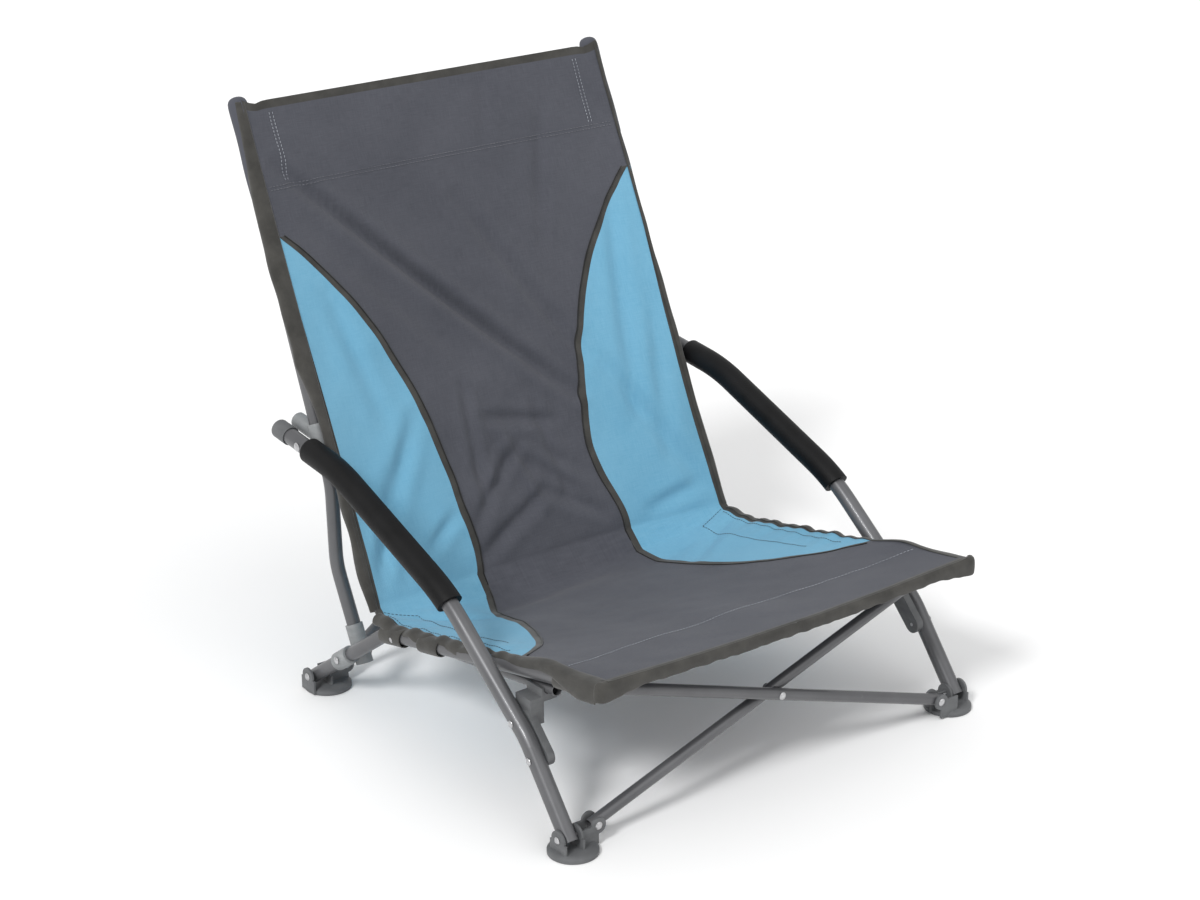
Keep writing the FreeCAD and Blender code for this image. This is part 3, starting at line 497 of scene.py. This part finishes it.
def shell_from_grid(name, upper, lower, uv, face_slot, normals):
    """Closed shell between two grids of points, with its own UV map and smooth normals."""
    rows, columns = upper.shape[:2]
    count = rows * columns
    number = np.arange(count).reshape(rows, columns)
    faces, slots, sides = [], [], []
    for i in range(rows - 1):
        for j in range(columns - 1):
            quad = (number[i, j], number[i, j + 1], number[i + 1, j + 1], number[i + 1, j])
            faces.append(quad)
            faces.append(tuple(count + corner for corner in reversed(quad)))
            slots += [face_slot[i, j], face_slot[i, j]]
            sides += [1, -1]
    rim = list(number[0, :]) + list(number[1:, -1]) + list(number[-1, -2::-1]) + list(number[-2:0:-1, 0])
    rim_slot = int(face_slot[0, -1])
    for here, there in zip(rim, rim[1:] + rim[:1]):
        faces.append((there, here, count + here, count + there))
        slots.append(rim_slot)
        sides.append(0)
    points = np.concatenate([upper.reshape(-1, 3), lower.reshape(-1, 3)])
    mesh = bpy.data.meshes.new(name)
    mesh.from_pydata(points.tolist(), [], [tuple(int(corner) for corner in face) for face in faces])
    for finish in PANEL_FINISHES:
        mesh.materials.append(finish)
    mesh.polygons.foreach_set("material_index", np.array(slots, np.int32))
    mesh.polygons.foreach_set("use_smooth", np.ones(len(faces), bool))
    layer = mesh.uv_layers.new(name="cloth_metres")
    flat_uv = np.tile(uv.reshape(-1, 2), (2, 1))
    corners = np.empty(len(mesh.loops), np.int32)
    mesh.loops.foreach_get("vertex_index", corners)
    layer.data.foreach_set("uv", flat_uv[corners].ravel())
    flat_normals = np.concatenate([normals.reshape(-1, 3), -normals.reshape(-1, 3)])
    custom = []
    for face, side in zip(mesh.polygons, sides):
        for corner in face.vertices:
            custom.append(tuple(flat_normals[corner]) if side else (0.0, 0.0, 0.0))
    mesh.normals_split_custom_set(custom)
    return place_mesh(name, mesh)


BLUE = PANEL_FINISHES.index(BLUE_CLOTH)
BOUND = PANEL_FINISHES.index(TAPE)


def sling_panel(name, side, start, end, hem_at):
    """One half of the seat or the back."""
    s = row_distances(start, end)
    share = column_shares(s, side)
    across = share * side
    along = np.repeat(s[:, None], share.shape[1], axis=1)
    points = sling_surface(across, along)
    normals = side * sheet_normals(across, along)
    slot = np.zeros((len(s) - 1, share.shape[1] - 1), np.int32)
    middle = (s[1:] + s[:-1]) / 2
    panel = has_side_panel(middle, side)
    slot[np.ix_(panel, range(CENTRE_COLUMNS, CENTRE_COLUMNS + TAPE_COLUMNS))] = BOUND
    slot[np.ix_(panel, range(CENTRE_COLUMNS + TAPE_COLUMNS, slot.shape[1]))] = BLUE
    slot[:, -1] = BOUND
    slot[np.abs(middle - hem_at) < HEM_WIDTH] = BOUND
    thick = np.full(share.shape, CLOTH_HALF)
    for j in range(CENTRE_COLUMNS, CENTRE_COLUMNS + TAPE_COLUMNS + 1):
        thick[has_side_panel(s, side), j] += TAPE_RAISE
    edge_distance = (1 - share) * CUT_HALF
    thick += EDGE_RAISE * np.exp(-(edge_distance / 0.006) ** 2)
    thick += (HEM_RAISE * np.exp(-((s - hem_at) / 0.011) ** 4))[:, None]
    upper = points + normals * thick[..., None]
    lower = points - normals * thick[..., None]
    uv = np.stack([across * CUT_HALF, along], axis=-1)
    grids = [grid[:, ::side] for grid in (upper, lower, uv, slot, normals)]
    return shell_from_grid(name, *grids)


def edge_point(side, s, share=1.0):
    """Point of the cloth's middle surface, at its side edge unless a share is given."""
    return Vector(sling_surface(np.array([[side * share]]), np.array([[s]]))[0, 0])


# ---- cords, threads and tapes on the cloth ----
THREAD_LIFT = 0.0012          # height of a thread's middle over the cloth's middle surface
CORD_LIFT = 0.0014
CORD_RADIUS = 0.0010
STITCH_RADIUS = 0.00035
STITCH_PITCH = 0.0042


def sling_point(share, s, lift):
    """Point at a height above the cloth."""
    step = 0.002
    u = np.array([[share - step, share + step], [share - step, share + step]])
    along = np.array([[s - step, s - step], [s + step, s + step]])
    patch = sling_surface(u, along)
    normal = np.cross(patch[0, 1] - patch[0, 0], patch[1, 0] - patch[0, 0])
    normal = normal / np.linalg.norm(normal)
    return Vector(patch.mean(axis=(0, 1)) + normal * lift)


def round_line(name, points, radius, finish, sides=8):
    """Closed round cord along points, as a mesh."""
    rings = []
    mesh = bpy.data.meshes.new(name)
    shape = bmesh.new()
    for place, point in enumerate(points):
        before = points[max(place - 1, 0)]
        after = points[min(place + 1, len(points) - 1)]
        direction = (after - before).normalized()
        facing = direction.to_track_quat("Z", "Y")
        ring = []
        for step in range(sides):
            angle = 2 * math.pi * step / sides
            offset = Vector((math.cos(angle) * radius, math.sin(angle) * radius, 0))
            ring.append(shape.verts.new(point + facing @ offset))
        rings.append(ring)
    for first, second in zip(rings, rings[1:]):
        for step in range(sides):
            near, far = step, (step + 1) % sides
            shape.faces.new((first[near], first[far], second[far], second[near]))
    shape.faces.new(list(reversed(rings[0])))
    shape.faces.new(rings[-1])
    shape.to_mesh(mesh)
    shape.free()
    mesh.materials.append(finish)
    for face in mesh.polygons:
        face.use_smooth = True
    return place_mesh(name, mesh)


def join_pieces(name, pieces):
    select_only(pieces)
    bpy.ops.object.join()
    pieces[0].name = name
    pieces[0].data.name = name
    return pieces[0]


def stitch_row(points_at, length, finish):
    """Short thread stitches along a line: points_at(distance share) gives a point."""
    stitches = []
    count = max(2, int(length / STITCH_PITCH))
    for step in range(count):
        start = points_at((step + 0.15) / count)
        end = points_at((step + 0.75) / count)
        thread = [start, (start + end) / 2, end]
        stitches.append(round_line("stitch", thread, STITCH_RADIUS, finish, 5))
    return stitches


def cloth_line(side, first, last, bow):
    """Line on the cloth between two (share, distance) places, bowed in the middle of the sheet."""
    def point(share):
        u = first[0] + (last[0] - first[0]) * share
        s = first[1] + (last[1] - first[1]) * share + bow * (1 - u * u)
        return sling_point(side * u, s, THREAD_LIFT)
    length = math.hypot((last[0] - first[0]) * CUT_HALF, last[1] - first[1])
    return point, length


def seam_cord(name, side, start, end):
    """Dark piping on the inner edge of the seam tape."""
    low = max(start, SEAM[0][0] + 0.002)
    high = min(end, SEAM[-1][0] - 0.002)
    count = int((high - low) / 0.004)
    points = []
    for step in range(count + 1):
        s = low + (high - low) * step / count
        share = float(seam_share(np.array([s]), side)[0]) - TAPE_SHARE / 2
        if share < SEAM_LIMIT:
            points.append(sling_point(side * share, s, CORD_LIFT))
    return round_line(name, points, CORD_RADIUS, PIPING)


# ---- bindings and sleeves on the tubes ----
BINDING_THICKNESS = 0.0016
SLEEVE_THICKNESS = 0.0011
POCKET_THICKNESS = 0.0010
SLEEVE_CORNERS = 16
POCKET_CORNERS = 18


def wave(s, side, size):
    """Uneven waviness of a sewn edge."""
    return size * noise.noise(Vector((s * 26.0, side * 5.0, 1.7))) * 1.6


def ribbon(name, sections, finish, thickness, closed=False):
    """Strip of cloth through cross-section lines, thickened and closed at its ends."""
    mesh = bpy.data.meshes.new(name)
    shape = bmesh.new()
    rows = [[shape.verts.new(point) for point in line] for line in sections]
    for first, second in zip(rows, rows[1:]):
        for near in range(len(first) - (0 if closed else 1)):
            far = (near + 1) % len(first)
            shape.faces.new((first[near], first[far], second[far], second[near]))
    bmesh.ops.recalc_face_normals(shape, faces=shape.faces)
    shape.to_mesh(mesh)
    shape.free()
    mesh.materials.append(finish)
    piece = place_mesh(name, mesh)
    select_only([piece])
    thicken = piece.modifiers.new("thicken", "SOLIDIFY")
    thicken.thickness = thickness
    thicken.offset = 0.0
    bpy.ops.object.modifier_apply(modifier="thicken")
    soften = piece.modifiers.new("soften", "SUBSURF")
    soften.levels = 1
    soften.render_levels = 1
    bpy.ops.object.modifier_apply(modifier="soften")
    for face in piece.data.polygons:
        face.use_smooth = True
    return piece


# The straight run of the right and left rails: their bend and their front end.
RAIL_BEND = Vector((0.2546, 0.0459, 0.109))
RAIL_FRONT = Vector((0.2476, -0.3101, 0.184))


def rail_centre(side, y):
    """Axis of the seat rail's main run."""
    point = RAIL_BEND.lerp(RAIL_FRONT, (RAIL_BEND.y - y) / (RAIL_BEND.y - RAIL_FRONT.y))
    return Vector((side * point.x, point.y, point.z))


def seat_binding(side, word):
    """Folded tape along the seat's side edge, over the rail's shoulder."""
    sections = []
    count = 120
    for step in range(count + 1):
        s = 0.004 + (CREASE - 0.006) * step / count
        edge = edge_point(side, s)
        corner = max(0.0, min(1.0, (0.085 - s) / 0.05))
        drop = 0.0085 + wave(s, side, 0.0035) * (1 - corner) + 0.0125 * corner
        near_leg = math.exp(-((edge.y + 0.170) / 0.03) ** 2)
        out = (0.0066 + wave(s + 3, side, 0.0022)) * (1 - 0.45 * near_leg) * (1 - corner) + 0.0132 * corner
        line = [
            edge + Vector((-side * 0.0055, 0, 0.0012)),
            edge + Vector((side * out * 0.35, 0, 0.0006)),
            edge + Vector((side * out * 0.8, 0, -0.0022)),
            edge + Vector((side * out, 0, -drop * 0.65)),
            edge + Vector((side * out * 0.95, 0, -drop)),
        ]
        sections.append(line)
    return ribbon("seat_binding_" + word, sections, TAPE, BINDING_THICKNESS)


def back_binding(side, word):
    """Folded tape along the back's side edge, turned back beside the upright."""
    sections = []
    count = 150
    for step in range(count + 1):
        s = BACK_START + (LENGTH - BACK_START - 0.001) * step / count
        edge = edge_point(side, s)
        free = min(1.0, max(0.0, (edge.z - 0.33) / 0.05)) * min(1.0, max(0.0, (LENGTH - s) / 0.14))
        out = 0.0032 + wave(s, side, 0.0012) + (0.0095 * free if side < 0 else -0.0012 * free)
        deep = 0.0095 + wave(s + 2, side, 0.0030) + 0.004 * free
        deep *= min(1.0, 0.35 + (s - BACK_START) / 0.06)
        line = [
            edge + Vector((-side * 0.0050, -0.0012, 0.0004)),
            edge + Vector((side * out * 0.5, -0.0008, 0.0)),
            edge + Vector((side * out, deep * 0.25, 0.0)),
            edge + Vector((side * out, deep * 0.7, -0.0012)),
            edge + Vector((side * out * 0.8, deep, -0.002)),
        ]
        sections.append(line)
    return ribbon("back_binding_" + word, sections, TAPE, BINDING_THICKNESS)


HEM_CORNER_X = 0.2515         # the hem turns round the rail's end here
HEM_STEPS = 60
HEM_TURN_STEPS = 8


def front_hem(side, word):
    """Front edge of the seat, turned down over the rail ends and round the corner."""
    sections = []
    corner = edge_point(side, 0.0)
    for step in range(HEM_STEPS + HEM_TURN_STEPS + 1):
        share = min(1.012 * step / HEM_STEPS - 0.012, 1.0)
        angle = max(0, step - HEM_STEPS) / HEM_TURN_STEPS * math.pi / 2
        edge = edge_point(side, 0.0, share)
        out = Vector((side * math.sin(angle), -math.cos(angle), 0))
        centre = Vector((side * share * HEM_CORNER_X, edge.y + 0.0065, edge.z if share < 1 else corner.z))
        drop = 0.0110 + wave(share, 1, 0.0010) + 0.0090 * max(0.0, (share - 0.8) / 0.2)
        line = [
            centre + out * 0.0010 + Vector((0, 0, 0.0012)),
            centre + out * 0.0075 + Vector((0, 0, 0.0006)),
            centre + out * 0.0092 + Vector((0, 0, -0.0030)),
            centre + out * 0.0094 + Vector((0, 0, -drop * 0.6)),
            centre + out * 0.0090 + Vector((0, 0, -drop)),
        ]
        sections.append(line)
    return ribbon("front_hem_" + word, sections, TAPE, BINDING_THICKNESS)


# Cloth loops round each rail: where each starts and ends along the chair, and its slack below.
RAIL_SLEEVES = [(0.010, 0.052, 0.0026), (-0.060, -0.022, 0.0018), (-0.327, -0.262, 0.0020)]


def rail_sleeve(side, word, number, start, end, slack):
    """Cloth loop round the rail, hanging a little loose below it."""
    sections = []
    count = 10
    for step in range(count + 1):
        y = start + (end - start) * step / count
        centre = rail_centre(side, y)
        loop = []
        for corner in range(SLEEVE_CORNERS):
            angle = 2 * math.pi * corner / SLEEVE_CORNERS
            radius = RAIL_SLEEVE + slack * max(0.0, -math.sin(angle)) ** 2
            radius += 0.0004 * noise.noise(Vector((math.cos(angle) * 2, math.sin(angle) * 2, y * 60)))
            loop.append(centre + Vector((side * radius * math.cos(angle), 0, radius * math.sin(angle))))
        sections.append(loop)
    return ribbon("rail_sleeve_%d_%s" % (number, word), sections, TAPE, SLEEVE_THICKNESS, closed=True)


# The straight run of the uprights: their bend and their top end.
UPRIGHT_BEND = Vector((0.2501, 0.1589, 0.249))
UPRIGHT_TOP = Vector((0.2461, 0.3359, 0.646))


def upright_centre(side, z):
    """Axis of the upright's long run."""
    point = UPRIGHT_BEND.lerp(UPRIGHT_TOP, (z - UPRIGHT_BEND.z) / (UPRIGHT_TOP.z - UPRIGHT_BEND.z))
    return Vector((side * point.x, point.y, point.z))


POCKET_BOTTOM = 0.545
POCKET_SHARE = 0.985          # where the pocket's front meets the cloth, across
POCKET_ROWS = 14


def corner_pocket(side, word):
    """Cloth pocket over the upright's top end, sewn to the back."""
    sections = []
    top = TOP.z + 0.0005
    count = POCKET_ROWS
    axis = (upright_centre(1, 0.6) - upright_centre(1, 0.3)).normalized()
    front = Vector((0, -axis.z, axis.y))
    for step in range(count + 3):
        share = min(step / count, 1.0)
        z = POCKET_BOTTOM + (top - POCKET_BOTTOM) * share
        shrink = 1.0 if step <= count else (0.72 if step == count + 1 else 0.06)
        rise = 0.0 if step <= count else (0.0050 if step == count + 1 else 0.0064)
        s_here = LENGTH - (TOP.z - z) / axis.z
        edge = edge_point(side, min(s_here, LENGTH), POCKET_SHARE)
        behind = upright_centre(side, z) - front * 0.0102
        centre = (edge + behind) / 2
        depth = (edge - behind).length / 2 - 0.0006
        width = 0.0108 + 0.0006 * math.sin(z * 90)
        loop = []
        for corner in range(POCKET_CORNERS):
            angle = 2 * math.pi * corner / POCKET_CORNERS
            offset = Vector((side * width * math.cos(angle), 0, 0)) + front * depth * math.sin(angle)
            loop.append(centre + offset * shrink + axis * rise)
        sections.append(loop)
    return ribbon("corner_pocket_" + word, sections, GREY_CLOTH, POCKET_THICKNESS, closed=True)


# ---- softened copies of frame pieces ----
def softened_copy(node, name, bevel, segments, angle=32.0):
    """Copy of a frame piece with rounded edges, as a moulding or a cut foam has."""
    piece = nodes[node].copy()
    piece.data = nodes[node].data.copy()
    piece.name = name
    piece.data.name = name
    piece.parent = None
    for key in list(piece.keys()):
        del piece[key]
    bpy.context.scene.collection.objects.link(piece)
    select_only([piece])
    bpy.ops.object.mode_set(mode="EDIT")
    bpy.ops.mesh.select_all(action="SELECT")
    bpy.ops.mesh.remove_doubles(threshold=0.00001)
    bpy.ops.mesh.dissolve_limited(angle_limit=math.radians(1.0))
    bpy.ops.object.mode_set(mode="OBJECT")
    rounding = piece.modifiers.new("rounding", "BEVEL")
    rounding.width = bevel
    rounding.segments = segments
    rounding.limit_method = "ANGLE"
    rounding.angle_limit = math.radians(angle)
    rounding.use_clamp_overlap = True
    bpy.ops.object.modifier_apply(modifier="rounding")
    bpy.ops.object.shade_smooth_by_angle(angle=math.radians(40))
    return piece


SOFTENED = {
    "front_foot_{}": ("plastic", 0.0007, 2), "rear_foot_{}": ("plastic", 0.0007, 2),
    "leg_cradle_{}": ("plastic", 0.0009, 2), "rail_knuckle_{}": ("plastic", 0.0006, 2),
    "upright_slider_{}": ("light_plastic", 0.0010, 3), "arm_end_cap_{}": ("plastic", 0.0014, 3),
    "upright_collar_{}": ("light_plastic", 0.0007, 2),
    "upright_end_fitting_{}": ("light_plastic", 0.0008, 2),
}


def soften_mouldings():
    """Show each moulded part of the frame through a copy with rounded edges."""
    for pattern, (slot, bevel, segments) in SOFTENED.items():
        for word in SIDES:
            node = pattern.format(word)
            piece = softened_copy(node, node + "_moulded", bevel, segments)
            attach(piece, nodes[node]["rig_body"])
            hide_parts(node)


def foam_grips():
    """Show each arm grip through a padded copy with rounded ends."""
    for word in SIDES:
        node = "arm_grip_" + word
        piece = softened_copy(node, node + "_foam", 0.0022, 4, 50.0)
        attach(piece, nodes[node]["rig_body"])
        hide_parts(node)


def narrow_with_fold(piece, body):
    """A cloth piece rides on its side's body and gets a mesh of its own."""
    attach(piece, body)
    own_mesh(piece)


def panel_details(word, side, part, start, end):
    """Piping and stitch rows that lie on one half of the seat or the back."""
    details = [seam_cord("seam_piping_%s_%s" % (part, word), side, start, end)]
    rows = []
    if part == "seat":
        rows.append(((0.0, 0.075), (0.965, 0.075), 0.040, THREAD))
        rows.append(((0.81, 0.408), (0.965, 0.422), 0.0, DARK_THREAD))
        rows.append(((0.81, 0.408), (0.84, 0.225), 0.0, DARK_THREAD))
        rows.append(((0.955, 0.415), (0.93, 0.190), 0.0, DARK_THREAD))
    else:
        seam_height = LENGTH - 0.097
        rows.append(((0.0, seam_height), (0.965, seam_height), 0.0, FAINT_THREAD))
        rows.append(((0.0, seam_height - 0.004), (0.965, seam_height - 0.004), 0.0, FAINT_THREAD))
        for share in (0.845, 0.863):
            rows.append(((share, LENGTH - 0.014), (share, seam_height + 0.003), 0.0, THREAD))
    stitches = []
    for first, last, bow, thread in rows:
        point, length = cloth_line(side, first, last, bow)
        stitches += stitch_row(point, length, thread)
    details.append(join_pieces("stitching_%s_%s" % (part, word), stitches))
    return details


def make_sling():
    """Each half of the seat and the back, with what is sewn to it."""
    for word, side in SIDES.items():
        seat = sling_panel("seat_cloth_" + word, side, 0.0, MEETING, 0.0)
        back = sling_panel("back_cloth_" + word, side, MEETING, LENGTH, LENGTH)
        seat_details = panel_details(word, side, "seat", 0.0, CREASE + 0.002)
        back_details = panel_details(word, side, "back", CREASE + 0.003, LENGTH)
        for piece in [seat] + seat_details:
            narrow_with_fold(piece, "rail_" + word)
        for piece in [back] + back_details:
            narrow_with_fold(piece, "upright_" + word)
        edge = seat_binding(side, word)
        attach(edge, "rail_" + word)
        hem = front_hem(side, word)
        narrow_with_fold(hem, "rail_" + word)
        back_edge = back_binding(side, word)
        pocket = corner_pocket(side, word)
        for piece in (back_edge, pocket):
            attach(piece, "upright_" + word)
        sleeves = []
        for number, (start, end, slack) in enumerate(RAIL_SLEEVES):
            sleeve = rail_sleeve(side, word, number, start, end, slack)
            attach(sleeve, "rail_" + word)
            sleeves.append(sleeve)
        seat_details + [edge, hem] + sleeves
        back_details + [back_edge, pocket]
        if side < 0:
            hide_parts("sling_seat")
            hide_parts("sling_back")


# ---- studio ----
CAMERA_PLACE = Vector((-1.6872, -2.2035, 1.3751))
CAMERA_TARGET = Vector((0.0, -0.0071, 0.2818))
LENS = 79.8


WORLD_STRENGTH = 0.76
SUNS = (                      # name, direction it comes from, angle in degrees, power
    ("key_sun", (-2.4, -0.9, 2.3), 14, 1.75),
    ("fill_sun", (0.6, -2.0, 2.4), 60, 0.5),
)


def studio():
    """Pale floor, even sky, two suns and the camera."""
    bpy.ops.object.select_all(action="DESELECT")
    floor_finish = Finish("pale_floor")
    tint = floor_finish.noise(floor_finish.place(), 3.0, 2.0)
    colour = floor_finish.mix(tint, (0.9, 0.9, 0.9, 1), (0.93, 0.93, 0.93, 1))
    floor_finish.finish(colour, 0.9)
    bpy.ops.mesh.primitive_plane_add(size=60, location=(0, 0, -0.0005))
    floor = bpy.context.active_object
    floor.name = "studio_floor"
    floor.data.materials.append(floor_finish.material)
    world = bpy.data.worlds.new("soft_studio")
    bpy.context.scene.world = world
    world.use_nodes = True
    world.node_tree.nodes["Background"].inputs["Color"].default_value = (1, 1, 1, 1)
    world.node_tree.nodes["Background"].inputs["Strength"].default_value = WORLD_STRENGTH
    for name, direction, angle, power in SUNS:
        data = bpy.data.lights.new(name, "SUN")
        data.angle = math.radians(angle)
        data.energy = power
        lamp = bpy.data.objects.new(name, data)
        lamp.rotation_euler = Vector(direction).to_track_quat("Z", "Y").to_euler()
        bpy.context.scene.collection.objects.link(lamp)
    camera_data = bpy.data.cameras.new("studio_camera")
    camera_data.lens = LENS
    camera_data.sensor_width = 36.0
    camera = bpy.data.objects.new("studio_camera", camera_data)
    camera.location = CAMERA_PLACE
    camera.rotation_euler = (CAMERA_TARGET - CAMERA_PLACE).to_track_quat("-Z", "Y").to_euler()
    bpy.context.scene.collection.objects.link(camera)
    bpy.context.scene.camera = camera
    bpy.context.scene.view_settings.view_transform = "Standard"


studio()
finish_frame_nodes()
soften_mouldings()
foam_grips()
make_sling()

bpy.context.view_layer.update()
